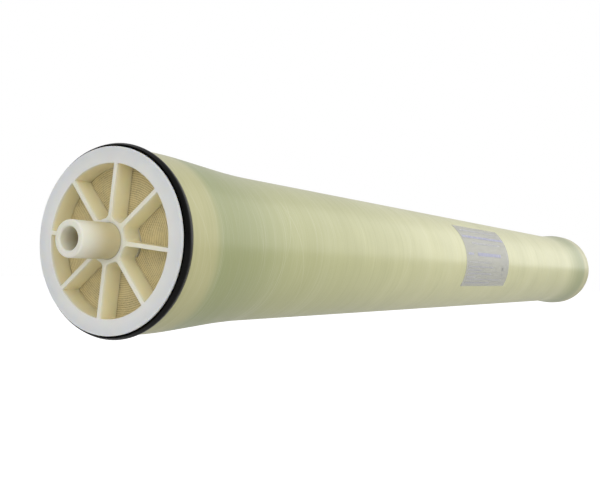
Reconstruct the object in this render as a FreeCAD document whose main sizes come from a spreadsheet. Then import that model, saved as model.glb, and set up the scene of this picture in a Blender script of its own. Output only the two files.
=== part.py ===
# Spiral-wound reverse-osmosis membrane element, 4 x 40 inch, with spoked end caps and a brine seal.
# Frame: origin half way along the element on its axis, +X from the feed end to the brine end, +Z up.
# A perforated permeate tube carries a wound roll of membrane leaves and feed spacers. The roll is held
# by a tape wrap, cupped at each end by a spoked cap and bound to both caps by a wound fibreglass shell.
import FreeCAD, Part
import math
import os
import Sketcher

V = FreeCAD.Vector
AXIS = V(1, 0, 0)

SIZES = {
    # permeate tube
    "overall_length": 1016.0,
    "tube_d": 19.4,
    "tube_end_d": 19.05,
    "tube_bore_d": 12.1,
    "tube_projection": 26.7,
    "tube_tip_bevel": 1.2,
    "tube_bore_bevel": 0.6,
    "perforation_d": 3.0,
    "perforation_count": 4,
    "perforation_span": 780.0,
    # end caps
    "cap_d": 98.0,
    "cap_depth": 12.0,
    "window_d": 80.8,
    "spoke_count": 8,
    "spoke_thickness": 2.2,
    "spoke_turn": 6.5,
    "hub_d": 24.4,
    "hub_fillet": 2.6,
    "skirt_d": 95.6,
    "skirt_reach": 30.0,
    "brine_flange": 3.0,
    # brine seal and its groove
    "groove_front": 1.3,
    "groove_width": 6.8,
    "groove_floor_d": 91.0,
    "seal_lip_d": 102.4,
    "seal_nose_d": 100.4,
    "seal_back_d": 99.8,
    "seal_nose": 2.2,
    "seal_crest": 1.4,
    "seal_heel": 3.6,
    "seal_lip_wall": 1.5,
    # fibreglass shell
    "shell_end_d": 98.6,
    "shell_body_d": 90.4,
    "shell_bore_d": 88.5,
    "taper_run": 64.0,
    # wound roll
    "core_wrap_wall": 2.4,
    "leaf_count": 5,
    "leaf_facets": 3,
    "leaf_pitch": 2.2,
    "leaf_thickness": 0.9,
    "tape_wall": 0.5,
    # label
    "label_start": 428.0,
    "label_length": 135.0,
    "label_span": 80.0,
    "label_turn": 80.5,
    "label_thickness": 0.15,
    "label_glue": 0.1,
    # clearances
    "glue_gap": 0.05,
    "sheet_gap": 0.02,
    "end_gap": 0.2,
    "seal_gap": 0.1,
}

doc = FreeCAD.newDocument("membrane_element")
dims = doc.addObject("Spreadsheet::Sheet", "dims")
for row, (alias, size) in enumerate(SIZES.items(), start=1):
    dims.set(f"A{row}", alias)
    dims.set(f"B{row}", repr(size))
    dims.setAlias(f"B{row}", alias)
doc.recompute()

# Lengths and radii that several pieces share, as expressions on the sheet.
FACE_SPAN = "(dims.overall_length - 2 * dims.tube_projection)"
TUBE_R = "dims.tube_d / 2"
CAP_R = "dims.cap_d / 2"
HUB_BORE_R = "(dims.tube_d / 2 + dims.glue_gap)"
SKIRT_R = "dims.skirt_d / 2"
SHELL_BORE_R = "dims.shell_bore_d / 2"
TAPE_R = "(dims.shell_bore_d / 2 - dims.glue_gap)"
SKIRT_BORE_R = "(dims.shell_bore_d / 2 + dims.seal_gap)"
GROOVE_BACK = "(dims.groove_front + dims.groove_width)"
ROLL_START = "(dims.cap_depth + dims.end_gap)"
CORE_R = "(dims.tube_d / 2 + dims.glue_gap + dims.core_wrap_wall)"


def value(expression):
    return float(dims.evalExpression(expression))


def new_body(name, from_feed_face="0", turn="0", faces_back=False):
    """A body whose local x = 0 lies from_feed_face behind the feed cap's face, turned about the axis."""
    body = doc.addObject("PartDesign::Body", name)
    body.Label = name
    if faces_back:
        body.Placement = FreeCAD.Placement(V(0, 0, 0), FreeCAD.Rotation(V(0, 0, 1), 180))
        body.setExpression(".Placement.Base.x", f"{FACE_SPAN} / 2")
    else:
        body.Placement = FreeCAD.Placement(V(0, 0, 0), FreeCAD.Rotation(AXIS, 1))
        body.setExpression(".Placement.Base.x", f"-{FACE_SPAN} / 2 + ({from_feed_face})")
        body.setExpression(".Placement.Rotation.Angle", turn)
    return body


def origin_part(body, role):
    return next(part for part in body.Origin.OriginFeatures if part.Role == role)


def new_sketch(body, name, plane):
    sketch = body.newObject("Sketcher::SketchObject", name)
    sketch.AttachmentSupport = [(origin_part(body, plane), "")]
    sketch.MapMode = "FlatFace"
    return sketch


def bind(sketch, text, kind, *where):
    """Add a constraint whose size is the expression in text."""
    index = sketch.addConstraint(Sketcher.Constraint(kind, *where, value(text)))
    sketch.setExpression(f"Constraints[{index}]", text)


def revolve(body, name, corners):
    """Turn a closed outline of (x, radius) corners about the body's X axis."""
    sketch = new_sketch(body, name + "_profile", "XZ_Plane")
    points = [V(value(x), value(radius), 0) for x, radius in corners]
    for start, end in zip(points, points[1:] + points[:1]):
        sketch.addGeometry(Part.LineSegment(start, end), False)
    for edge, (x, radius) in enumerate(corners):
        sketch.addConstraint(Sketcher.Constraint("Coincident", (edge - 1) % len(corners), 2, edge, 1))
        bind(sketch, x, "DistanceX", -1, 1, edge, 1)
        bind(sketch, radius, "DistanceY", -1, 1, edge, 1)
    turned = body.newObject("PartDesign::Revolution", name)
    turned.Profile = sketch
    turned.ReferenceAxis = (sketch, ["H_Axis"])
    turned.Angle = 360
    return turned


def permeate_tube():
    """A tube whose two free ends are turned down to the size that couplings seal on."""
    body = new_body("permeate_tube", "-dims.tube_projection")
    bore = "dims.tube_bore_d / 2"
    mouth = f"{bore} + dims.tube_bore_bevel"
    end_r = "dims.tube_end_d / 2"
    tip_r = f"{end_r} - dims.tube_tip_bevel"
    revolve(body, "tube_wall", [
        ("0", mouth),
        ("dims.tube_bore_bevel", bore),
        ("dims.overall_length - dims.tube_bore_bevel", bore),
        ("dims.overall_length", mouth),
        ("dims.overall_length", tip_r),
        ("dims.overall_length - dims.tube_tip_bevel", end_r),
        ("dims.overall_length - dims.tube_projection", end_r),
        ("dims.overall_length - dims.tube_projection", TUBE_R),
        ("dims.tube_projection", TUBE_R),
        ("dims.tube_projection", end_r),
        ("dims.tube_tip_bevel", end_r),
        ("0", tip_r),
    ])
    # A row of perforations is drilled through one wall.
    sketch = new_sketch(body, "perforation_circle", "XZ_Plane")
    start = "(dims.overall_length - dims.perforation_span) / 2"
    circle = Part.Circle(V(value(start), 0, 0), V(0, 0, 1), value("dims.perforation_d / 2"))
    edge = sketch.addGeometry(circle, False)
    sketch.addConstraint(Sketcher.Constraint("PointOnObject", edge, 3, -1))
    bind(sketch, start, "DistanceX", -1, 1, edge, 3)
    bind(sketch, "dims.perforation_d", "Diameter", edge)
    hole = body.newObject("PartDesign::Pocket", "perforation")
    hole.Profile = sketch
    hole.Type = "Length"
    hole.setExpression("Length", "dims.tube_d")
    row = body.newObject("PartDesign::LinearPattern", "perforation_row")
    row.Originals = [hole]
    row.Direction = (origin_part(body, "X_Axis"), [""])
    row.setExpression("Length", "dims.perforation_span")
    row.setExpression("Occurrences", "dims.perforation_count")
    body.Tip = row
    return body


def arc(centre, radius, start, end):
    """The counter-clockwise arc from start to end in a sketch."""
    angles = [math.atan2(point.y - centre.y, point.x - centre.x) for point in (start, end)]
    return Part.ArcOfCircle(Part.Circle(centre, V(0, 0, 1), radius), *angles)


def window_sketch(body):
    """One window between two spokes: rim arc, hub arc, spoke flanks and fillets that blend them to the hub."""
    sketch = new_sketch(body, "window_outline", "YZ_Plane")
    half_pitch = "180 / dims.spoke_count"
    slope = math.radians(value(half_pitch))
    flank = value("dims.spoke_thickness / 2")
    rim_r, hub_r, fillet_r = value("dims.window_d / 2"), value("dims.hub_d / 2"), value("dims.hub_fillet")

    def on_flank(reach, away):
        """The point at that distance from the axis and that far inside the upper spoke's centre line."""
        along = math.sqrt(reach * reach - away * away)
        outward = V(math.cos(slope), math.sin(slope), 0)
        inward = V(math.sin(slope), -math.cos(slope), 0)
        return outward * along + inward * away

    def mirrored(point):
        return V(point.x, -point.y, 0)

    centre = V(0, 0, 0)
    corner = on_flank(rim_r, flank)
    blend = on_flank(hub_r + fillet_r, flank + fillet_r)
    top = blend + V(-math.sin(slope), math.cos(slope), 0) * fillet_r
    foot = blend * (hub_r / (hub_r + fillet_r))
    rim_arc = sketch.addGeometry(arc(centre, rim_r, mirrored(corner), corner), False)
    upper = sketch.addGeometry(Part.LineSegment(corner, top), False)
    upper_blend = sketch.addGeometry(arc(blend, fillet_r, top, foot), False)
    hub_arc = sketch.addGeometry(arc(centre, hub_r, mirrored(foot), foot), False)
    lower_blend = sketch.addGeometry(arc(mirrored(blend), fillet_r, mirrored(foot), mirrored(top)), False)
    lower = sketch.addGeometry(Part.LineSegment(mirrored(top), mirrored(corner)), False)
    for joint in ((rim_arc, 2, upper, 1), (lower, 2, rim_arc, 1)):
        sketch.addConstraint(Sketcher.Constraint("Coincident", *joint))
    for joint in ((upper, 2, upper_blend, 1), (upper_blend, 2, hub_arc, 2),
                  (hub_arc, 1, lower_blend, 1), (lower_blend, 2, lower, 1)):
        sketch.addConstraint(Sketcher.Constraint("Tangent", *joint))
    for ring in (rim_arc, hub_arc):
        sketch.addConstraint(Sketcher.Constraint("Coincident", ring, 3, -1, 1))
    bind(sketch, "dims.window_d / 2", "Radius", rim_arc)
    bind(sketch, "dims.hub_d / 2", "Radius", hub_arc)
    for edge in (upper_blend, lower_blend):
        bind(sketch, "dims.hub_fillet", "Radius", edge)
    for edge in (upper, lower):
        bind(sketch, "dims.spoke_thickness / 2", "Distance", -1, 1, edge)
    for edge, inner_end, sign in ((upper, 2, ""), (lower, 1, "-")):
        tilt = sketch.addConstraint(
            Sketcher.Constraint("Angle", -1, 1, edge, inner_end, math.radians(value(sign + half_pitch))))
        sketch.setExpression(f"Constraints[{tilt}]", f"{sign}{half_pitch} * 1 deg")
    return sketch


def end_cap(name, shoulder, **place):
    """A spoked cap: face ring, the given shoulder corners, a skirt that cups the roll, and the windows."""
    body = new_body(name, **place)
    revolve(body, name + "_blank", [
        ("0", HUB_BORE_R),
        ("0", CAP_R),
        *shoulder,
        ("dims.skirt_reach", SKIRT_R),
        ("dims.skirt_reach", SKIRT_BORE_R),
        ("dims.cap_depth", SKIRT_BORE_R),
        ("dims.cap_depth", HUB_BORE_R),
    ])
    window = body.newObject("PartDesign::Pocket", name + "_window")
    window.Profile = window_sketch(body)
    window.Type = "ThroughAll"
    window.Midplane = True
    windows = body.newObject("PartDesign::PolarPattern", name + "_windows")
    windows.Originals = [window]
    windows.Axis = (origin_part(body, "X_Axis"), [""])
    windows.Angle = 360
    windows.setExpression("Occurrences", "dims.spoke_count")
    body.Tip = windows
    return body


def feed_end_cap():
    floor = "dims.groove_floor_d / 2"
    groove = [
        ("dims.groove_front", CAP_R),
        ("dims.groove_front", floor),
        (GROOVE_BACK, floor),
        (GROOVE_BACK, SKIRT_R),
    ]
    return end_cap("feed_end_cap", groove, turn="180 / dims.spoke_count + dims.spoke_turn")


def brine_end_cap():
    flange = [("dims.brine_flange", CAP_R), ("dims.brine_flange", SKIRT_R)]
    return end_cap("brine_end_cap", flange, faces_back=True)


def brine_seal():
    """U-cup ring open to the feed side: a heel in the groove, an inner lip on its floor and a crested outer lip."""
    body = new_body("brine_seal", "dims.groove_front + dims.seal_gap")
    back = "(dims.groove_width - 2 * dims.seal_gap)"
    floor = "(dims.groove_floor_d / 2 + dims.glue_gap)"
    lip = "dims.seal_lip_d / 2"
    cup = f"{back} - dims.seal_heel"
    revolve(body, "seal_ring", [
        ("0", floor),
        (back, floor),
        (back, "dims.seal_back_d / 2"),
        ("dims.seal_nose + dims.seal_crest", lip),
        ("dims.seal_nose", lip),
        ("0", "dims.seal_nose_d / 2"),
        ("0", f"{lip} - dims.seal_lip_wall"),
        (cup, f"{lip} - dims.seal_lip_wall"),
        (cup, f"{floor} + dims.seal_lip_wall"),
        ("0", f"{floor} + dims.seal_lip_wall"),
    ])
    return body


def fiberglass_shell():
    """Wound over both cap skirts and the roll, thick where it tapers from a skirt down to the roll."""
    body = new_body("fiberglass_shell", GROOVE_BACK)
    socket = f"({SKIRT_R} + dims.glue_gap)"
    end_r, body_r = "dims.shell_end_d / 2", "dims.shell_body_d / 2"
    feed_skirt = f"(dims.skirt_reach - {GROOVE_BACK})"
    brine_skirt = f"({FACE_SPAN} - {GROOVE_BACK} - dims.skirt_reach)"
    brine_end = f"({FACE_SPAN} - {GROOVE_BACK} - dims.brine_flange - dims.glue_gap)"
    revolve(body, "shell_wall", [
        ("0", socket),
        (f"{feed_skirt} + dims.glue_gap", socket),
        (f"{feed_skirt} + dims.glue_gap", SHELL_BORE_R),
        (f"{brine_skirt} - dims.glue_gap", SHELL_BORE_R),
        (f"{brine_skirt} - dims.glue_gap", socket),
        (brine_end, socket),
        (brine_end, end_r),
        (brine_skirt, end_r),
        (f"{brine_skirt} - dims.taper_run", body_r),
        (f"{feed_skirt} + dims.taper_run", body_r),
        (feed_skirt, end_r),
        ("0", end_r),
    ])
    return body


def label():
    """A thin curved sheet stuck on the shell's plain stretch."""
    body = new_body("label", "dims.label_start", "dims.label_turn")
    under = "dims.shell_body_d / 2 + dims.label_glue"
    over = f"{under} + dims.label_thickness"
    sheet = revolve(body, "label_sheet", [
        ("0", under), ("dims.label_length", under), ("dims.label_length", over), ("0", over),
    ])
    sheet.Midplane = True
    sheet.setExpression("Angle", "dims.label_span")
    return body


def sleeve(name, inner, outer):
    """A wrap as long as the roll."""
    body = new_body(name, ROLL_START)
    length = f"({FACE_SPAN} - 2 * {ROLL_START})"
    revolve(body, name + "_sleeve", [("0", inner), (length, inner), (length, outer), ("0", outer)])
    return body


def spiral(inner_r, sectors, leaf):
    """One face of a wound sheet: the involute of a regular polygon with one side for each leaf, in facets.

    Each sector turns about one corner of the polygon, and the next sector's radius is one pitch larger,
    so the sheets of all leaves share their centres and nest without crossing.
    """
    count, pitch, facets = int(dims.leaf_count), dims.leaf_pitch, int(dims.leaf_facets)
    step = 2 * math.pi / count
    corner_r = pitch / (2 * math.sin(math.pi / count))
    points = []
    for sector in range(sectors):
        start = (sector + leaf) * step
        corner = start + math.pi / 2 + math.pi / count
        radius = inner_r + sector * pitch
        for facet in range(facets + (sector == sectors - 1)):
            angle = start + facet * step / facets
            points.append(V(0, corner_r * math.cos(corner) + radius * math.cos(angle),
                            corner_r * math.sin(corner) + radius * math.sin(angle)))
    return points


def wound_sheet(name, leaf, inner_r, thickness, sectors):
    """A sheet wound from inner_r outward, all its turns one solid as long as the roll."""
    inner = spiral(inner_r, sectors, leaf)
    outer = spiral(inner_r + thickness, sectors, leaf)
    outline = inner + outer[::-1] + inner[:1]
    length = value(f"{FACE_SPAN} - 2 * {ROLL_START}")
    sheet = doc.addObject("Part::Feature", name)
    sheet.Label = name
    sheet.Shape = Part.Face(Part.makePolygon(outline)).extrude(V(length, 0, 0))
    sheet.Placement = FreeCAD.Placement(V(-length / 2, 0, 0), FreeCAD.Rotation())
    return sheet


def wound_roll():
    """Leaves and spacers from the core wrap outward, and a tape wrap that fills what whole turns leave."""
    count, pitch, gap = int(dims.leaf_count), dims.leaf_pitch, dims.sheet_gap
    half_facet = math.pi / (count * dims.leaf_facets)
    apothem = pitch / (2 * math.tan(math.pi / count))
    inner_r = (value(CORE_R) + gap + pitch / 2) / math.cos(half_facet)
    roll_r = value(TAPE_R) - dims.tape_wall - gap
    sectors = int((math.sqrt(roll_r * roll_r - apothem * apothem) - pitch / 2 - inner_r) / pitch)
    sheets = []
    for leaf in range(count):
        spacer_r = inner_r + dims.leaf_thickness + gap
        spacer_wall = pitch - dims.leaf_thickness - 2 * gap
        sheets.append(wound_sheet(f"membrane_leaf_{leaf + 1}", leaf, inner_r, dims.leaf_thickness, sectors))
        sheets.append(wound_sheet(f"feed_spacer_{leaf + 1}", leaf, spacer_r, spacer_wall, sectors))
    outer_r = math.hypot(inner_r + sectors * pitch + pitch / 2, apothem)
    core = sleeve("core_wrap", HUB_BORE_R, CORE_R)
    tape = sleeve("tape_wrap", repr(outer_r), TAPE_R)
    return [core, *sheets, tape]


nodes = [
    permeate_tube(),
    *wound_roll(),
    fiberglass_shell(),
    feed_end_cap(),
    brine_end_cap(),
    brine_seal(),
    label(),
]
doc.recompute()

for part in doc.Objects:
    if "Invalid" in part.State or "Error" in part.State:
        raise RuntimeError(f"{part.Name} failed: {part.State}")
for node in nodes:
    if node.Shape.isNull() or not node.Shape.isValid() or node.Shape.Volume <= 0:
        raise RuntimeError(f"{node.Label} has no valid solid")

os.makedirs("parts", exist_ok=True)
for node in nodes:
    node.Shape.exportStep(f"parts/{node.Label}.step")
    print(node.Label, len(node.Shape.Solids), round(node.Shape.Volume, 1))
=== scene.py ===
# Finish of a spiral-wound membrane element: wound shell, spoked caps, brine seal, roll, tube and label.
import math

import bmesh
import bpy
from mathutils import Matrix, Vector


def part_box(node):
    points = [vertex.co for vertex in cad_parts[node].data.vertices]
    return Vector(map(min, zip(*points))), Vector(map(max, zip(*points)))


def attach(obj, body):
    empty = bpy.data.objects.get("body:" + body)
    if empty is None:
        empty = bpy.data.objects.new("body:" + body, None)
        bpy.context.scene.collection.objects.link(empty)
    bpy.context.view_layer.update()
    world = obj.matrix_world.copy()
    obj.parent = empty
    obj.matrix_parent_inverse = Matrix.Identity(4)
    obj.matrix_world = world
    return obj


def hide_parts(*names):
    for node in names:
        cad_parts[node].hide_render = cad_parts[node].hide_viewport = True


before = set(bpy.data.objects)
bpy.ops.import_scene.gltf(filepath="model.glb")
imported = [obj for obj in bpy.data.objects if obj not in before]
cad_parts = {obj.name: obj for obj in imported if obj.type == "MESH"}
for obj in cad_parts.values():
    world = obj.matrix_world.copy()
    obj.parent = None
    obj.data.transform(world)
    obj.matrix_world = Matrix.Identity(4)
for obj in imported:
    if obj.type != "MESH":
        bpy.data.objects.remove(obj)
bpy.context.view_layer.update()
print("frame loaded:", len(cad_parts), "nodes")

mm = 0.001
xAxis = Vector((1, 0, 0))
creaseAngle = math.radians(32)      # sharper edges than this stay crisp
weldDistance = 0.0005 * mm


# ---------------------------------------------------------------- places read from the frame
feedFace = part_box("feed_end_cap")[0].x
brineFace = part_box("brine_end_cap")[1].x
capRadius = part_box("feed_end_cap")[1].z
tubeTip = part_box("permeate_tube")[1].x
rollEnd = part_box("membrane_leaf_1")[1].x
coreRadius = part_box("core_wrap")[1].z
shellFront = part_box("fiberglass_shell")[0].x
shellBack, _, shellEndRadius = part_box("fiberglass_shell")[1]
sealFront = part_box("brine_seal")[0].x
sealBack, _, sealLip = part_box("brine_seal")[1]
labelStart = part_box("label")[0].x
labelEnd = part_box("label")[1].x


# ---------------------------------------------------------------- mesh helpers
def onRadius(radius, angle, x=0.0):
    # a point at that distance from the axis, its angle counted from +Y towards +Z
    return Vector((x, radius * math.cos(angle), radius * math.sin(angle)))


def finishPiece(bm, name, material, replaced):
    bmesh.ops.remove_doubles(bm, verts=bm.verts, dist=weldDistance)
    bmesh.ops.recalc_face_normals(bm, faces=bm.faces)
    for face in bm.faces:
        face.smooth = True
    for edge in bm.edges:
        edge.smooth = edge.calc_face_angle(0) < creaseAngle
    mesh = bpy.data.meshes.new(name)
    bm.to_mesh(mesh)
    bm.free()
    piece = bpy.data.objects.new(name, mesh)
    bpy.context.scene.collection.objects.link(piece)
    evenShading = piece.modifiers.new("evenShading", 'WEIGHTED_NORMAL')
    evenShading.keep_sharp = True
    mesh.materials.append(material)
    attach(piece, "root")
    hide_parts(*replaced)
    return piece


def turnedMesh(corners, steps, roundSteps=6):
    # corners: (x, radius, rounding) round a closed section, which is turned about the X axis
    bm = bmesh.new()
    verts = [bm.verts.new((x, radius, 0)) for x, radius, _ in corners]
    bm.faces.new(verts)
    for vert, (_, _, rounding) in zip(verts, corners):
        if rounding:
            bmesh.ops.bevel(bm, geom=[vert], offset=rounding, offset_type='OFFSET',
                            segments=roundSteps, profile=0.5, affect='VERTICES', material=-1)
    bmesh.ops.delete(bm, geom=bm.faces[:], context='FACES_ONLY')
    bmesh.ops.spin(bm, geom=bm.verts[:] + bm.edges[:], cent=(0, 0, 0), axis=xAxis,
                   angle=2 * math.pi, steps=steps, use_merge=True)
    return bm


def cutAway(bm, cutter):
    # the mesh with the cutter's closed forms taken out of it
    made = []
    for role, source in (("body", bm), ("cutter", cutter)):
        bmesh.ops.recalc_face_normals(source, faces=source.faces)
        mesh = bpy.data.meshes.new(role)
        source.to_mesh(mesh)
        source.free()
        made.append(bpy.data.objects.new(role, mesh))
        bpy.context.scene.collection.objects.link(made[-1])
    body, tool = made
    cut = body.modifiers.new("cut", 'BOOLEAN')
    cut.operation = 'DIFFERENCE'
    cut.solver = 'EXACT'
    cut.object = tool
    result = bmesh.new()
    result.from_object(body, bpy.context.evaluated_depsgraph_get())
    for done in made:
        bpy.data.objects.remove(done)
    return result


# ---------------------------------------------------------------- shader helpers
def addNode(tree, kind, inputs=None, **settings):
    # inputs: socket name or number to a value, or to the socket that feeds it
    node = tree.nodes.new(kind)
    for name, setting in settings.items():
        setattr(node, name, setting)
    for socket, given in (inputs or {}).items():
        if isinstance(given, bpy.types.NodeSocket):
            tree.links.new(given, node.inputs[socket])
        else:
            node.inputs[socket].default_value = given
    return node


def calc(tree, operation, first, second=0.0):
    return addNode(tree, "ShaderNodeMath", {0: first, 1: second}, operation=operation).outputs[0]


def blendColour(tree, amount, first, second):
    return addNode(tree, "ShaderNodeMix", {0: amount, 6: first, 7: second}, data_type='RGBA').outputs[2]


def ease(tree, given, low, high, toLow=0.0, toHigh=1.0):
    return addNode(tree, "ShaderNodeMapRange", {0: given, 1: low, 2: high, 3: toLow, 4: toHigh},
                   interpolation_type='SMOOTHSTEP').outputs[0]


def noise(tree, vector, scale, detail=2.0, roughness=0.5):
    return addNode(tree, "ShaderNodeTexNoise", {"Vector": vector, "Scale": scale, "Detail": detail,
                                                "Roughness": roughness}).outputs["Fac"]


def sharedOut(tree, first, second, share):
    # the second in that share, and the first in what is left
    return calc(tree, 'ADD', calc(tree, 'MULTIPLY', first, 1 - share), calc(tree, 'MULTIPLY', second, share))


def stretched(tree, vector, factors):
    return addNode(tree, "ShaderNodeVectorMath", {0: vector, 1: factors},
                   operation='MULTIPLY').outputs[0]


def newGroup(name, inputs, outputs):
    group = bpy.data.node_groups.new(name, 'ShaderNodeTree')
    for label, kind, start in inputs:
        socket = group.interface.new_socket(name=label, in_out='INPUT', socket_type=kind)
        if start is not None:
            socket.default_value = start
    for label, kind in outputs:
        group.interface.new_socket(name=label, in_out='OUTPUT', socket_type=kind)
    return group, group.nodes.new("NodeGroupInput").outputs, group.nodes.new("NodeGroupOutput").inputs


def useGroup(tree, group, inputs):
    return addNode(tree, "ShaderNodeGroup", inputs, node_tree=group).outputs


def newMaterial(name, **shaderValues):
    material = bpy.data.materials.new(name)
    material.use_nodes = True
    tree = material.node_tree
    shader = tree.nodes["Principled BSDF"]
    for socket, given in shaderValues.items():
        shader.inputs[socket.replace("_", " ")].default_value = given
    place = addNode(tree, "ShaderNodeTexCoord").outputs["Object"]
    return material, tree, shader, place


def feed(tree, shader, colour=None, roughness=None, normal=None, alpha=None):
    for socket, given in (("Base Color", colour), ("Roughness", roughness),
                          ("Normal", normal), ("Alpha", alpha)):
        if given is not None:
            tree.links.new(given, shader.inputs[socket])


# ---------------------------------------------------------------- shared surface effects
filament = {
    "aroundScale": 14.0,                # how fast the hoops change round the piece
    "broadShare": 0.25,
    "broadStretch": (0.08, 0.6, 0.6),
    "helixStretch": (9.0, 160.0, 160.0),
    "helixHeight": 0.3,
}


def filamentGroup():
    # wound strands: fine hoops and two crossing helices on a round piece along X
    group, given, out = newGroup(
        "woundFilament",
        [("Place", 'NodeSocketVector', None), ("Strand Density", 'NodeSocketFloat', 900.0),
         ("Helix Turn", 'NodeSocketFloat', 60.0)],
        [("Hoops", 'NodeSocketFloat'), ("Helices", 'NodeSocketFloat'), ("Height", 'NodeSocketFloat')])
    place = given["Place"]
    along, across, upward = addNode(group, "ShaderNodeSeparateXYZ", {0: place}).outputs
    hoopPlace = addNode(group, "ShaderNodeCombineXYZ", {
        0: calc(group, 'MULTIPLY', along, given["Strand Density"]),
        1: calc(group, 'MULTIPLY', across, filament["aroundScale"]),
        2: calc(group, 'MULTIPLY', upward, filament["aroundScale"])}).outputs[0]
    fineHoops = noise(group, hoopPlace, 1.0, 4.0, 0.7)
    broadHoops = noise(group, stretched(group, hoopPlace, filament["broadStretch"]), 1.0, 2.0, 0.5)
    hoops = sharedOut(group, fineHoops, broadHoops, filament["broadShare"])
    helices = []
    for way in (1, -1):
        turn = calc(group, 'MULTIPLY', along, calc(group, 'MULTIPLY', given["Helix Turn"], way))
        turned = addNode(group, "ShaderNodeVectorRotate", {"Vector": place, "Angle": turn},
                         rotation_type='X_AXIS').outputs[0]
        helices.append(noise(group, stretched(group, turned, filament["helixStretch"]), 1.0, 3.0, 0.6))
    crossing = calc(group, 'MAXIMUM', *helices)
    group.links.new(hoops, out["Hoops"])
    group.links.new(crossing, out["Helices"])
    group.links.new(sharedOut(group, hoops, crossing, filament["helixHeight"]), out["Height"])
    return group


def grainGroup():
    # slow drift of tone and a fine grain, for moulded plastic, rubber and film
    group, given, out = newGroup(
        "mouldedGrain",
        [("Place", 'NodeSocketVector', None), ("Patch Size", 'NodeSocketFloat', 0.02),
         ("Grain Size", 'NodeSocketFloat', 0.0006)],
        [("Patches", 'NodeSocketFloat'), ("Grain", 'NodeSocketFloat')])
    patches = noise(group, given["Place"], calc(group, 'DIVIDE', 1.0, given["Patch Size"]), 3.0, 0.55)
    grain = noise(group, given["Place"], calc(group, 'DIVIDE', 1.0, given["Grain Size"]), 2.0, 0.6)
    group.links.new(patches, out["Patches"])
    group.links.new(grain, out["Grain"])
    return group


def barGroup():
    # one printed bar: 1 between two places along X and within a band of angle round the axis
    group, given, out = newGroup(
        "printedBar",
        [("Along", 'NodeSocketFloat', 0.0), ("Turn", 'NodeSocketFloat', 0.0),
         ("Start", 'NodeSocketFloat', 0.0), ("End", 'NodeSocketFloat', 1.0),
         ("Middle", 'NodeSocketFloat', 0.0), ("Height", 'NodeSocketFloat', 1.0)],
        [("Mask", 'NodeSocketFloat')])
    soft = 0.25                         # mm along the label, degrees round it
    afterStart = ease(group, calc(group, 'SUBTRACT', given["Along"], given["Start"]), -soft, soft)
    beforeEnd = ease(group, calc(group, 'SUBTRACT', given["End"], given["Along"]), -soft, soft)
    away = calc(group, 'ABSOLUTE', calc(group, 'SUBTRACT', given["Turn"], given["Middle"]))
    half = calc(group, 'MULTIPLY', given["Height"], 0.5)
    inBand = ease(group, calc(group, 'SUBTRACT', half, away), -soft, soft)
    inLength = calc(group, 'MULTIPLY', afterStart, beforeEnd)
    group.links.new(calc(group, 'MULTIPLY', inLength, inBand), out["Mask"])
    return group


woundFilament = filamentGroup()
mouldedGrain = grainGroup()
printedBar = barGroup()


def bumpFrom(tree, height, strength, distance):
    return addNode(tree, "ShaderNodeBump", {"Height": height, "Strength": strength,
                                            "Distance": distance}).outputs[0]


# ---------------------------------------------------------------- wound shell
shell = {
    "socketRadius": 47.85 * mm,
    "boreRadius": 44.25 * mm,
    "bodyRadius": 45.2 * mm,
    "skirtReach": 30 * mm,           # how far each cap's skirt goes in behind its face
    "taperRun": 64 * mm,
    "shoulderRounding": 9 * mm,
    "footRounding": 17 * mm,
    "lipRounding": 0.4 * mm,
    "steps": 288,
    "strandDensity": 1500.0,         # hoops in each metre, before they break up
    "helixTurn": 60.0,               # radians in each metre
    "skirtFade": (7 * mm, -5 * mm),  # past the skirt's end, where its colour starts and is full
    "taperFade": (8 * mm, 104 * mm),
    "nearShadeFade": (64 * mm, 420 * mm),  # from the feed face; painted shade, the shell darker towards the feed end
    "skirtColour": (0.54, 0.52, 0.26, 1),
    "taperColour": (0.35, 0.385, 0.17, 1),
    # the body's colour in painted shade near the feed end
    "nearShadeColour": (0.52, 0.53, 0.26, 1),
    "bodyColour": (0.71, 0.70, 0.38, 1),
    "strandColour": (0.76, 0.76, 0.56, 1),
    "gapColour": (0.40, 0.41, 0.18, 1),
}


def shellMaterial():
    material, tree, shader, place = newMaterial("woundFiberglass", IOR=1.5, Coat_Weight=0.25,
                                                Coat_Roughness=0.2)
    strand = useGroup(tree, woundFilament, {"Place": place, "Strand Density": shell["strandDensity"],
                                            "Helix Turn": shell["helixTurn"]})
    patches = useGroup(tree, mouldedGrain, {"Place": place, "Patch Size": 0.05})["Patches"]
    along = addNode(tree, "ShaderNodeSeparateXYZ", {0: place}).outputs[0]
    fromFeed = calc(tree, 'SUBTRACT', along, feedFace)
    fromBrine = calc(tree, 'SUBTRACT', brineFace, along)
    fromEnd = calc(tree, 'MINIMUM', fromFeed, fromBrine)
    fromSkirt = calc(tree, 'SUBTRACT', fromEnd, shell["skirtReach"])
    overSkirt = ease(tree, fromSkirt, *shell["skirtFade"])
    pastTaper = ease(tree, fromSkirt, *shell["taperFade"])
    outOfNearShade = ease(tree, fromFeed, *shell["nearShadeFade"])
    # painted shade: the body darker towards the feed end, which gets less light than the brine end
    colour = blendColour(tree, outOfNearShade, shell["nearShadeColour"], shell["bodyColour"])
    colour = blendColour(tree, pastTaper, shell["taperColour"], colour)
    colour = blendColour(tree, overSkirt, colour, shell["skirtColour"])
    strands = ease(tree, strand["Hoops"], 0.5, 0.75, 0.0, 0.35)
    colour = blendColour(tree, strands, colour, shell["strandColour"])
    gaps = ease(tree, strand["Hoops"], 0.5, 0.28, 0.0, 0.4)
    colour = blendColour(tree, gaps, colour, shell["gapColour"])
    crossing = ease(tree, strand["Helices"], 0.62, 0.78, 0.0, 0.28)
    colour = blendColour(tree, crossing, colour, shell["strandColour"])
    drift = ease(tree, patches, 0.35, 0.65, 0.0, 0.18)
    colour = blendColour(tree, drift, colour, shell["gapColour"])
    roughness = ease(tree, strand["Hoops"], 0.3, 0.7, 0.42, 0.28)
    feed(tree, shader, colour, roughness, bumpFrom(tree, strand["Height"], 0.35, 0.00025))
    return material


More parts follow.
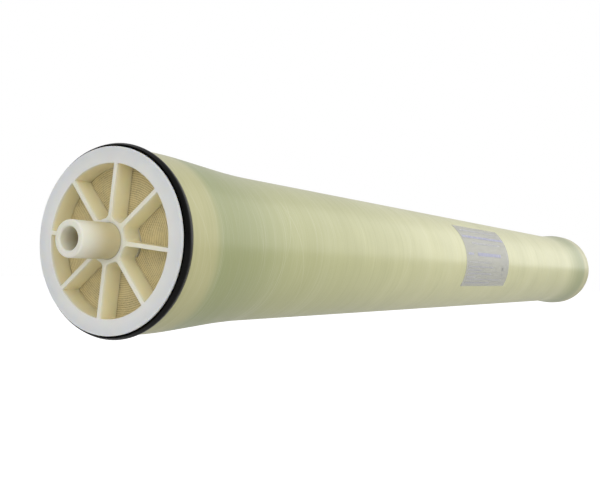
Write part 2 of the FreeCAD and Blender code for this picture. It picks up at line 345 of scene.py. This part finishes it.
def makeShell():
    skirtFeed, skirtBrine = feedFace + shell["skirtReach"], brineFace - shell["skirtReach"]
    socket, bore, end, body = shell["socketRadius"], shell["boreRadius"], shellEndRadius, shell["bodyRadius"]
    corners = [
        (shellFront, socket, 0),
        (skirtFeed, socket, 0),
        (skirtFeed, bore, 0),
        (skirtBrine, bore, 0),
        (skirtBrine, socket, 0),
        (shellBack, socket, 0),
        (shellBack, end, shell["lipRounding"]),
        (skirtBrine, end, shell["shoulderRounding"]),
        (skirtBrine - shell["taperRun"], body, shell["footRounding"]),
        (skirtFeed + shell["taperRun"], body, shell["footRounding"]),
        (skirtFeed, end, shell["shoulderRounding"]),
        (shellFront, end, shell["lipRounding"]),
    ]
    bm = turnedMesh(corners, shell["steps"])
    return finishPiece(bm, "wound_shell", shellMaterial(), ["fiberglass_shell"])


# ---------------------------------------------------------------- end caps
cap = {
    "depth": 12 * mm,
    "skirtRadius": 47.8 * mm,
    "skirtBore": 44.35 * mm,
    "skirtReach": 30 * mm,
    "windowRadius": 40.4 * mm,
    "hubRadius": 12.2 * mm,
    "hubBore": 9.75 * mm,
    "spokes": 8,
    "spokeWidth": 2.2 * mm,
    "hubFillet": 2.6 * mm,
    "edgeRounding": 0.4 * mm,
    "steps": 192,
    "feedTurn": math.radians(29),    # where the first window's middle lies, from +Y towards +Z
    "brineTurn": 0.0,
    "grooveFront": 1.3 * mm,
    "grooveBack": 8.1 * mm,
    "grooveRadius": 45.5 * mm,
    "flange": 3 * mm,
    "faceDepth": (0.2 * mm, 2.5 * mm),  # where the face's colour ends and the inner painted glow is full
    "faceColour": (0.88, 0.88, 0.85, 1),
    # painted glow of light coming through the thin spokes and the deep moulding, warmer than the face's own
    # white
    "spokeGlowColour": (0.94, 0.91, 0.76, 1),
    "insideGlowColour": (0.96, 0.88, 0.62, 1),
}


def plasticMaterial(name, outerColour, innerPaintedLight, faceDepth, middleGlowColour=None):
    # pale on the outer face; painted light elsewhere: a warmer painted glow of light coming through the
    # plastic on the spokes and where the cap's moulding is deep, and painted shade towards the tube's root
    material, tree, shader, place = newMaterial(name, IOR=1.5, Subsurface_Weight=0.5,
                                                Subsurface_Radius=(1.0, 0.8, 0.5), Subsurface_Scale=0.004)
    grain = useGroup(tree, mouldedGrain, {"Place": place, "Patch Size": 0.03, "Grain Size": 0.0009})
    along = addNode(tree, "ShaderNodeSeparateXYZ", {0: place}).outputs[0]
    fromEnd = calc(tree, 'SUBTRACT', brineFace, calc(tree, 'ABSOLUTE', along))
    depth = ease(tree, fromEnd, *faceDepth)
    colour = outerColour
    if middleGlowColour:
        fromAxis = addNode(tree, "ShaderNodeVectorMath", {0: stretched(tree, place, (0, 1, 1))},
                           operation='LENGTH').outputs["Value"]
        onRing = ease(tree, fromAxis, cap["windowRadius"] - 1.5 * mm, cap["windowRadius"] + 0.8 * mm)
        colour = blendColour(tree, onRing, middleGlowColour, outerColour)
    # painted light where the moulding is deep: glow on the caps, shade on the tube
    colour = blendColour(tree, depth, colour, innerPaintedLight)
    drift = ease(tree, grain["Patches"], 0.4, 0.7, 1.0, 0.95)
    colour = addNode(tree, "ShaderNodeVectorMath", {0: colour, "Scale": drift}, operation='SCALE').outputs[0]
    roughness = ease(tree, grain["Patches"], 0.3, 0.7, 0.36, 0.5)
    feed(tree, shader, colour, roughness, bumpFrom(tree, grain["Grain"], 0.12, 0.0001))
    return material


def windowCutters(turn, face, inward):
    # the outline of one window, its hub corners rounded, pushed through the cap and repeated round the axis
    bm = bmesh.new()
    half = math.pi / cap["spokes"]
    rimAngle = half - math.asin(cap["spokeWidth"] / 2 / cap["windowRadius"])
    hubAngle = half - math.asin(cap["spokeWidth"] / 2 / cap["hubRadius"])
    start = face - inward * mm
    rimStart = bm.verts.new(onRadius(cap["windowRadius"], -rimAngle, start))
    bmesh.ops.spin(bm, geom=[rimStart], cent=(0, 0, 0), axis=xAxis, angle=2 * rimAngle, steps=24)
    rimArc = bm.verts[:]
    hubCorners = [bm.verts.new(onRadius(cap["hubRadius"], side * hubAngle, start)) for side in (1, -1)]
    bm.faces.new(rimArc + hubCorners)
    offset = cap["hubFillet"] / math.tan((math.pi / 2 + half) / 2)
    bmesh.ops.bevel(bm, geom=hubCorners, offset=offset, offset_type='OFFSET', segments=8,
                    profile=0.5, affect='VERTICES', material=-1)
    pushed = bmesh.ops.extrude_face_region(bm, geom=bm.faces[:])["geom"]
    bmesh.ops.translate(bm, verts=[v for v in pushed if isinstance(v, bmesh.types.BMVert)],
                        vec=(inward * (cap["depth"] + 2 * mm), 0, 0))
    step = 2 * math.pi / cap["spokes"]
    bmesh.ops.spin(bm, geom=bm.verts[:] + bm.edges[:] + bm.faces[:], cent=(0, 0, 0), axis=xAxis,
                   angle=step * (cap["spokes"] - 1), steps=cap["spokes"] - 1, use_duplicate=True)
    bmesh.ops.rotate(bm, verts=bm.verts, cent=(0, 0, 0), matrix=Matrix.Rotation(turn, 3, 'X'))
    return bm


def makeCap(name, node, face, inward, turn, shoulder, material):
    # inward is +1 at the feed end and -1 at the brine end
    # shoulder gives the (depth, radius) corners behind the rim
    corners = [(0, cap["hubBore"]), (0, capRadius), *shoulder,
               (cap["skirtReach"], cap["skirtRadius"]), (cap["skirtReach"], cap["skirtBore"]),
               (cap["depth"], cap["skirtBore"]), (cap["depth"], cap["hubBore"])]
    blank = turnedMesh([(face + inward * depth, radius, 0) for depth, radius in corners], cap["steps"])
    bm = cutAway(blank, windowCutters(turn, face, inward))
    bmesh.ops.remove_doubles(bm, verts=bm.verts, dist=0.001 * mm)
    bmesh.ops.recalc_face_normals(bm, faces=bm.faces)
    front = [edge for edge in bm.edges
             if all(abs(v.co.x - face) < 0.01 * mm for v in edge.verts)
             and edge.calc_face_angle(0) > math.radians(50)
             and edge.verts[0].co.yz.length > cap["hubBore"] + 0.5 * mm]
    bmesh.ops.bevel(bm, geom=front, offset=cap["edgeRounding"], offset_type='OFFSET', segments=3,
                    profile=0.5, affect='EDGES', material=-1, clamp_overlap=True)
    return finishPiece(bm, name, material, [node])


# ---------------------------------------------------------------- brine seal
seal = {
    "floorRadius": 45.55 * mm,
    "noseRadius": 50.2 * mm,
    "backRadius": 49.9 * mm,
    "nose": 2.2 * mm,
    "crest": 1.4 * mm,
    "heel": 3.6 * mm,
    "lipWall": 1.5 * mm,
    "steps": 256,
    "darkColour": (0.0012, 0.0012, 0.0012, 1),
    "paleColour": (0.0025, 0.0025, 0.0024, 1),
}


def rubberMaterial():
    material, tree, shader, place = newMaterial("sealRubber", IOR=1.45, Specular_IOR_Level=0.22)
    grain = useGroup(tree, mouldedGrain, {"Place": place, "Patch Size": 0.012, "Grain Size": 0.0005})
    amount = ease(tree, grain["Patches"], 0.4, 0.7)
    colour = blendColour(tree, amount, seal["darkColour"], seal["paleColour"])
    roughness = ease(tree, grain["Patches"], 0.3, 0.7, 0.24, 0.36)
    feed(tree, shader, colour, roughness, bumpFrom(tree, grain["Grain"], 0.1, 0.00005))
    return material


def makeSeal():
    floor, lip, back = seal["floorRadius"], sealLip, seal["backRadius"]
    cup = sealBack - seal["heel"]
    corners = [
        (sealFront, floor, 0),
        (sealBack, floor, 0),
        (sealBack, back, 0.5 * mm),
        (sealFront + seal["nose"] + seal["crest"], lip, 0.9 * mm),
        (sealFront + seal["nose"], lip, 0.9 * mm),
        (sealFront, seal["noseRadius"], 0.2 * mm),
        (sealFront, lip - seal["lipWall"], 0.2 * mm),
        (cup, lip - seal["lipWall"], 0.8 * mm),
        (cup, floor + seal["lipWall"], 0.8 * mm),
        (sealFront, floor + seal["lipWall"], 0.4 * mm),
    ]
    bm = turnedMesh(corners, seal["steps"], 5)
    return finishPiece(bm, "cup_seal", rubberMaterial(), ["brine_seal"])


# ---------------------------------------------------------------- permeate tube
tube = {
    "bodyRadius": 9.7 * mm,
    "endRadius": 9.525 * mm,
    "boreRadius": 6.05 * mm,
    "projection": 26.7 * mm,
    "tipRounding": 1.1 * mm,
    "mouthBevel": 0.6 * mm,
    "holeRadius": 1.5 * mm,
    "holeCount": 4,
    "holeSpan": 780 * mm,
    "steps": 96,
    "rootShadeFade": (-27 * mm, -6 * mm),  # depth behind the cap's face, where the colours start and end; painted shade, the tube darker towards its root at the hub
    "tipColour": (0.88, 0.87, 0.76, 1),
    # painted shade at the tube's root, where it enters the hub
    "rootShadeColour": (0.62, 0.55, 0.33, 1),
}


def makeTube(material):
    bore, end, body = tube["boreRadius"], tube["endRadius"], tube["bodyRadius"]
    face = tubeTip - tube["projection"]
    half = [(tubeTip - tube["mouthBevel"], bore, 0), (tubeTip, bore + tube["mouthBevel"], 0.15 * mm),
            (tubeTip, end, tube["tipRounding"]), (face, end, 0), (face, body, 0)]
    corners = half + [(-x, radius, rounding) for x, radius, rounding in reversed(half)]
    wall = turnedMesh(corners, tube["steps"])
    drills = bmesh.new()
    for number in range(tube["holeCount"]):
        x = tube["holeSpan"] * (number / (tube["holeCount"] - 1) - 0.5)
        place = Matrix.Translation((x, body, 0)) @ Matrix.Rotation(math.pi / 2, 4, 'X')
        bmesh.ops.create_cone(drills, cap_ends=True, segments=24, radius1=tube["holeRadius"],
                              radius2=tube["holeRadius"], depth=body, matrix=place)
    return finishPiece(cutAway(wall, drills), "permeate_pipe", material, ["permeate_tube"])


# ---------------------------------------------------------------- wound roll
roll = {
    "leaves": 5,
    "pitch": 1.15 * mm,
    "leafWall": 0.6 * mm,
    "gap": 0.03 * mm,
    "sectorSteps": 10,
    "spacerSetBack": 0.3 * mm,
    "leafColour": (0.84, 0.74, 0.44, 1),
    "spacerColour": (0.70, 0.59, 0.31, 1),
    "coreColour": (0.75, 0.72, 0.58, 1),
    "tapeColour": (0.62, 0.56, 0.38, 1),
}


def sheetMaterial(name, colour, darkShare):
    material, tree, shader, place = newMaterial(name, Roughness=0.7)
    grain = useGroup(tree, mouldedGrain, {"Place": place, "Patch Size": 0.006, "Grain Size": 0.0007})
    darker = [channel * darkShare for channel in colour[:3]] + [1]
    patches, specks = (ease(tree, grain[name], 0.3, 0.7) for name in ("Patches", "Grain"))
    colour = blendColour(tree, calc(tree, 'MULTIPLY', patches, specks), colour, darker)
    feed(tree, shader, colour, None, bumpFrom(tree, grain["Grain"], 0.3, 0.0002))
    return material


def windSheet(name, material, node, leaf, innerRadius, wall, endSetBack):
    # each share of a turn is swept about one corner of a polygon, and the next corner lets the radius grow
    leaves = roll["leaves"]
    step = 2 * math.pi / leaves
    cornerRadius = roll["pitch"] / (2 * math.sin(math.pi / leaves))
    apothem = roll["pitch"] / (2 * math.tan(math.pi / leaves))
    firstRadius = coreRadius + roll["gap"] + roll["pitch"] / 2
    room = math.sqrt(rollRadius ** 2 - apothem ** 2) - roll["pitch"] / 2 - firstRadius
    sectors = int(room / roll["pitch"])
    end = rollEnd - endSetBack
    start = leaf * step
    centre = onRadius(cornerRadius, start + math.pi / 2 + math.pi / leaves)
    bm = bmesh.new()
    outerRadius = innerRadius + wall
    ring = [bm.verts.new(centre + onRadius(radius, start, x)) for x, radius in
            ((-end, innerRadius), (end, innerRadius), (end, outerRadius), (-end, outerRadius))]
    edges = [bm.edges.new((ring[i], ring[(i + 1) % 4])) for i in range(4)]
    moving = ring + edges
    for sector in range(sectors):
        centre = onRadius(cornerRadius, (sector + leaf) * step + math.pi / 2 + math.pi / leaves)
        moving = bmesh.ops.spin(bm, geom=moving, cent=centre, axis=xAxis, angle=step,
                                steps=roll["sectorSteps"])["geom_last"]
    bmesh.ops.holes_fill(bm, edges=bm.edges, sides=4)
    return finishPiece(bm, name, material, [node])


def makeRoll():
    leafMaterial = sheetMaterial("membraneEdge", roll["leafColour"], 0.8)
    spacerMaterial = sheetMaterial("spacerNet", roll["spacerColour"], 0.55)
    innerRadius = coreRadius + roll["gap"] + roll["pitch"] / 2
    spacerWall = roll["pitch"] - roll["leafWall"] - 2 * roll["gap"]
    for leaf in range(roll["leaves"]):
        windSheet(f"membrane_wrap_{leaf + 1}", leafMaterial, f"membrane_leaf_{leaf + 1}",
                  leaf, innerRadius, roll["leafWall"], 0)
        windSheet(f"spacer_wrap_{leaf + 1}", spacerMaterial, f"feed_spacer_{leaf + 1}", leaf,
                  innerRadius + roll["leafWall"] + roll["gap"], spacerWall, roll["spacerSetBack"])


# ---------------------------------------------------------------- label
label = {
    "under": 45.3 * mm,
    "thickness": 0.15 * mm,
    "span": math.radians(80),
    "middle": math.radians(170.5),   # from +Y towards +Z
    "steps": 60,
    "filmColour": (0.70, 0.70, 0.70, 1),
    "greyInk": (0.20, 0.20, 0.24, 1),
    "blueInk": (0.16, 0.17, 0.42, 1),
    "darkInk": (0.02, 0.02, 0.025, 1),
    "filmCover": 0.42,               # how much of the shell the bare film hides
    # start and end behind the feed face in mm, middle from +Z towards -Y and height in degrees, strength
    "blueBars": [(433, 560, 57.5, 3.2, 0.62), (434, 450, 80, 2.6, 0.5), (462, 536, 80, 4.2, 0.62)],
    "greyBars": [(439, 548, 47.5, 2.6, 0.3), (453, 541, 66, 2.4, 0.28), (434, 499, 90, 1.3, 0.3),
                 (434, 510, 95.5, 1.6, 0.5), (433, 475, 99.6, 1.6, 0.55), (434, 506, 104, 1.6, 0.5),
                 (434, 460, 108.4, 1.5, 0.45), (435, 546, 111.5, 1.0, 0.45), (435, 509, 115.8, 1.3, 0.55),
                 (558.6, 559.6, 83.7, 15.5, 0.4)],
    "darkBars": [(539, 543, 97, 4.0, 0.9), (539.5, 542.5, 105, 2.2, 0.7)],
}


def labelMaterial():
    material, tree, shader, place = newMaterial("labelFilm", Roughness=0.4, IOR=1.45)
    x, y, z = addNode(tree, "ShaderNodeSeparateXYZ", {0: place}).outputs
    along = calc(tree, 'DIVIDE', calc(tree, 'SUBTRACT', x, feedFace), mm)
    turn = calc(tree, 'MULTIPLY', calc(tree, 'ARCTAN2', calc(tree, 'MULTIPLY', y, -1.0), z), 180 / math.pi)
    grain = useGroup(tree, mouldedGrain, {"Place": place, "Patch Size": 0.004, "Grain Size": 0.0008})
    colour, cover = label["filmColour"], 0.0
    for ink, bars in (("greyInk", "greyBars"), ("blueInk", "blueBars"), ("darkInk", "darkBars")):
        mask = 0.0
        for start, end, middle, height, strength in label[bars]:
            bar = useGroup(tree, printedBar, {"Along": along, "Turn": turn, "Start": start,
                                              "End": end, "Middle": middle, "Height": height})["Mask"]
            mask = calc(tree, 'MAXIMUM', mask, calc(tree, 'MULTIPLY', bar, strength))
        worn = calc(tree, 'MULTIPLY', mask, ease(tree, grain["Patches"], 0.25, 0.6, 0.55, 1.0))
        colour = blendColour(tree, worn, colour, label[ink])
        cover = calc(tree, 'MAXIMUM', cover, worn)
    alpha = ease(tree, cover, 0.0, 0.4, label["filmCover"], 1.0)
    feed(tree, shader, colour, None, bumpFrom(tree, grain["Grain"], 0.1, 0.00005), alpha)
    return material


def makeLabel():
    bm = bmesh.new()
    start = label["middle"] - label["span"] / 2
    under, over = label["under"], label["under"] + label["thickness"]
    ring = [bm.verts.new(onRadius(radius, start, x)) for x, radius in
            ((labelStart, under), (labelEnd, under), (labelEnd, over), (labelStart, over))]
    edges = [bm.edges.new((ring[i], ring[(i + 1) % 4])) for i in range(4)]
    bmesh.ops.spin(bm, geom=ring + edges, cent=(0, 0, 0), axis=xAxis, angle=label["span"],
                   steps=label["steps"])
    bmesh.ops.holes_fill(bm, edges=bm.edges, sides=4)
    return finishPiece(bm, "label_film_sheet", labelMaterial(), ["label"])


# ---------------------------------------------------------------- make the pieces
makeShell()
print("shell made")

capMaterial = plasticMaterial("capPlastic", cap["faceColour"], cap["insideGlowColour"], cap["faceDepth"],
                              cap["spokeGlowColour"])
grooveShoulder = [(cap["grooveFront"], capRadius), (cap["grooveFront"], cap["grooveRadius"]),
                  (cap["grooveBack"], cap["grooveRadius"]), (cap["grooveBack"], cap["skirtRadius"])]
flangeShoulder = [(cap["flange"], capRadius), (cap["flange"], cap["skirtRadius"])]
makeCap("feed_cap", "feed_end_cap", feedFace, 1, cap["feedTurn"], grooveShoulder, capMaterial)
makeCap("brine_cap", "brine_end_cap", brineFace, -1, cap["brineTurn"], flangeShoulder, capMaterial)
print("caps made")

makeSeal()
print("seal made")

tubeMaterial = plasticMaterial("tubePlastic", tube["tipColour"], tube["rootShadeColour"], tube["rootShadeFade"])
makeTube(tubeMaterial)
print("tube made")

rollRadius = max(v.co.yz.length for leaf in range(1, 1 + roll["leaves"])
                 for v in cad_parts[f"feed_spacer_{leaf}"].data.vertices)
makeRoll()
print("roll wound")

makeLabel()
print("label made")

for node, colour in (("core_wrap", "coreColour"), ("tape_wrap", "tapeColour")):
    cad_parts[node].data.materials.clear()
    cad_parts[node].data.materials.append(sheetMaterial(node + "Finish", roll[colour], 0.8))


# ---------------------------------------------------------------- camera, light and floor
view = {
    "place": (-0.8009, -0.30237, -0.0147),
    "forward": (0.86276, 0.50482, 0.02838),
    "right": (0.50436, -0.86321, 0.02186),
    "lens": 49.95,
    "sensor": 36.0,
}
studio = {
    "floorDrop": 0.45,
    "floorSize": 60,
    "away": 0.4,                    # sky light from the dim side and from the bright side
    "towards": 1.5,
    "brightSide": (-0.45, -0.86, -0.25),
    # the sky as smooth surfaces mirror it, behind the feed end and beyond the brine end
    "mirroredDark": 0.04,
    "mirroredPale": 0.75,
    "floorTone": 0.8,
    "floorMirrored": 0.7,
    "floorGlow": 0.6,                # added where the floor itself is seen
    # place, what it faces, size and watts
    "panel": ((1.5, -0.85, 0.78), (0, -0.85, 0.78), (1.4, 1.5), 4.2),
}


def addCamera():
    camera = bpy.data.objects.new("camera", bpy.data.cameras.new("camera"))
    camera.data.lens = view["lens"]
    camera.data.sensor_width = view["sensor"]
    camera.data.clip_start = 0.01
    right, forward = Vector(view["right"]).normalized(), Vector(view["forward"]).normalized()
    up = right.cross(forward)
    turn = Matrix((right, up, -forward)).transposed()
    camera.matrix_world = Matrix.Translation(view["place"]) @ turn.to_4x4()
    bpy.context.scene.collection.objects.link(camera)
    bpy.context.scene.camera = camera


def seenDirectly(tree):
    # 1 for the background itself and what glass shows of it, then 1 for what smooth surfaces mirror
    path = addNode(tree, "ShaderNodeLightPath").outputs
    direct = calc(tree, 'MAXIMUM', path["Is Camera Ray"], path["Is Transmission Ray"])
    return direct, path["Is Glossy Ray"]


def addWorld():
    world = bpy.data.worlds.new("studio")
    bpy.context.scene.world = world
    world.use_nodes = True
    tree = world.node_tree
    tree.nodes.clear()
    direct, glossy = seenDirectly(tree)
    outward = addNode(tree, "ShaderNodeTexCoord").outputs["Generated"]
    facing = addNode(tree, "ShaderNodeVectorMath", {0: outward, 1: studio["brightSide"]},
                     operation='DOT_PRODUCT').outputs["Value"]
    soft = ease(tree, facing, -0.6, 1, studio["away"], studio["towards"])
    ahead = addNode(tree, "ShaderNodeSeparateXYZ", {0: outward}).outputs[0]
    mirrored = ease(tree, ahead, -0.5, 0.9, studio["mirroredDark"], studio["mirroredPale"])
    strength = addNode(tree, "ShaderNodeMix", {0: glossy, 2: soft, 3: mirrored}).outputs[0]
    strength = calc(tree, 'MAXIMUM', strength, direct)
    background = addNode(tree, "ShaderNodeBackground", {"Color": (1, 1, 1, 1), "Strength": strength})
    output = addNode(tree, "ShaderNodeOutputWorld")
    tree.links.new(background.outputs[0], output.inputs["Surface"])


def addFloor():
    bm = bmesh.new()
    bmesh.ops.create_grid(bm, x_segments=1, y_segments=1, size=studio["floorSize"] / 2,
                          matrix=Matrix.Translation((0, 0, -studio["floorDrop"])))
    mesh = bpy.data.meshes.new("floor")
    bm.to_mesh(mesh)
    bm.free()
    floor = bpy.data.objects.new("floor", mesh)
    bpy.context.scene.collection.objects.link(floor)
    material = bpy.data.materials.new("paleFloor")
    material.use_nodes = True
    tree = material.node_tree
    shader = tree.nodes["Principled BSDF"]
    direct, glossy = seenDirectly(tree)
    pale, dim = [(studio[tone],) * 3 + (1,) for tone in ("floorTone", "floorMirrored")]
    tree.links.new(blendColour(tree, glossy, pale, dim), shader.inputs["Base Color"])
    shader.inputs["Roughness"].default_value = 0.9
    shader.inputs["Specular IOR Level"].default_value = 0.1
    shader.inputs["Emission Color"].default_value = (1, 1, 1, 1)
    tree.links.new(calc(tree, 'MULTIPLY', direct, studio["floorGlow"]), shader.inputs["Emission Strength"])
    mesh.materials.append(material)


def addPanel():
    place, target, size, power = studio["panel"]
    lamp = bpy.data.lights.new("panel", 'AREA')
    lamp.shape = 'RECTANGLE'
    lamp.size, lamp.size_y = size
    lamp.energy = power
    light = bpy.data.objects.new("panel", lamp)
    light.location = place
    light.rotation_euler = (Vector(target) - Vector(place)).to_track_quat('-Z', 'Y').to_euler()
    bpy.context.scene.collection.objects.link(light)


addCamera()
addWorld()
addFloor()
addPanel()
bpy.context.scene.view_settings.view_transform = 'Standard'
print("camera, light and floor placed")
